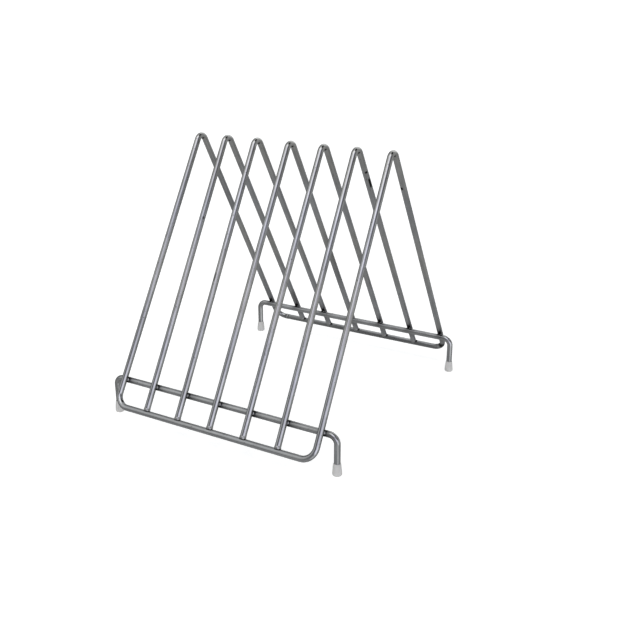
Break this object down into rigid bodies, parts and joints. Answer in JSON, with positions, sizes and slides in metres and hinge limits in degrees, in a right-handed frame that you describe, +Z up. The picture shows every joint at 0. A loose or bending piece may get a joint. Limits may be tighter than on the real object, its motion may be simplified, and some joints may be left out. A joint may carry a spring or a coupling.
{
  "type": "chopping board rack",
  "caption": "Free-standing rack of bright bent wire: a row of A-shaped wires makes slots for chopping boards, on short legs with pale plastic foot caps.",
  "frame": {"origin": "on the ground under the middle of the rack", "axes": "+X along the row of slots from the left end to the right end, -Y towards the front, +Z up"},
  "size_m": [0.2652, 0.3084, 0.27],
  "materials": {
    "plated_wire": "satin",
    "weld_metal": "satin",
    "cap_plastic": "satin"
  },
  "bodies": {
    "root": {"perimeter_frame": "plated_wire", "divider_wire_1": "plated_wire", "divider_wire_2": "plated_wire", "divider_wire_3": "plated_wire", "divider_wire_4": "plated_wire", "divider_wire_5": "plated_wire", "front_leg_rod": "plated_wire", "rear_leg_rod": "plated_wire", "front_cross_welds": "weld_metal", "rear_cross_welds": "weld_metal", "front_end_welds": "weld_metal", "rear_end_welds": "weld_metal", "frame_butt_weld": "weld_metal", "foot_cap_front_left": "cap_plastic", "foot_cap_front_right": "cap_plastic", "foot_cap_rear_left": "cap_plastic", "foot_cap_rear_right": "cap_plastic"}
  },
  "joints": []
}
